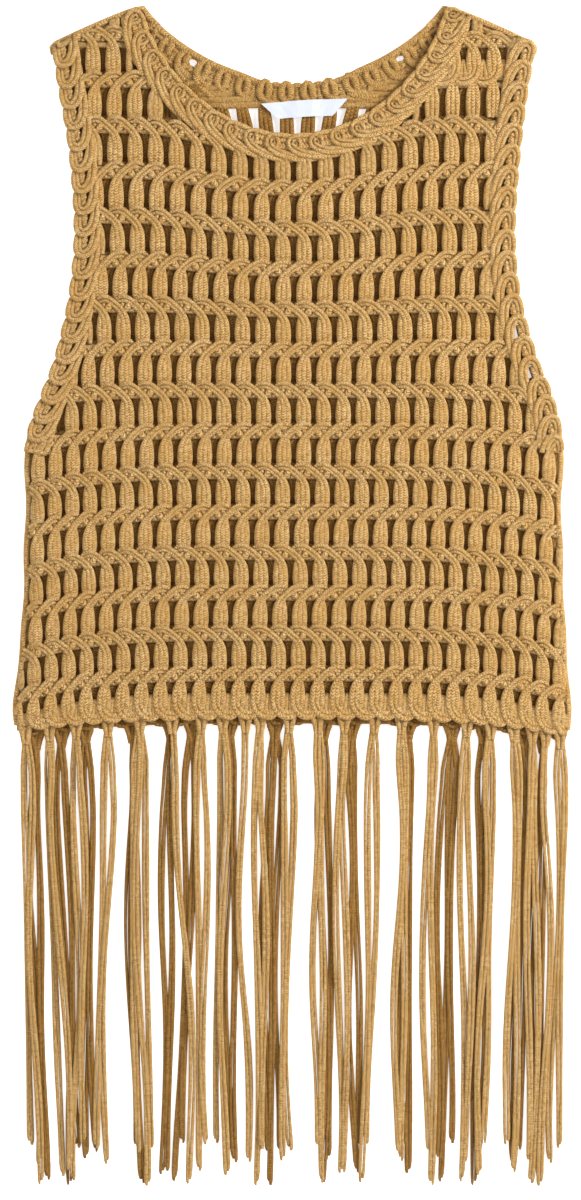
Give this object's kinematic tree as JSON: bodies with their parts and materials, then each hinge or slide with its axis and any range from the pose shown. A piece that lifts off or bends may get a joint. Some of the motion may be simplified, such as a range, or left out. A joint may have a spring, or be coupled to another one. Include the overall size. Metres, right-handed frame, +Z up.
{
  "type": "crocheted tank top with a fringed hem",
  "caption": "Cropped sleeveless top crocheted in flat cotton cord, scooped neck, long fringe at the hem, lying flat with its front up.",
  "frame": {"origin": "on the table under the middle of the whole piece", "axes": "+Z up off the table through the front, +Y along the garment towards the neck, +X to the viewer's right"},
  "size_m": [0.4176, 0.884, 0.0133],
  "materials": {
    "cord": "matt flat cotton cord, mustard ochre",
    "fringe_cord": "matt flat cotton cord, mustard ochre, cut ends",
    "label": "white satin-woven tape, left bare"
  },
  "bodies": {
    "root": {"front_panel": "cord", "back_panel": "cord", "neck_band_front": "cord", "neck_band_back": "cord", "armhole_band_left_front": "cord", "armhole_band_left_back": "cord", "armhole_band_right_front": "cord", "armhole_band_right_back": "cord", "fringe_front": "fringe_cord", "fringe_back": "fringe_cord", "neck_label": "label"}
  },
  "joints": []
}
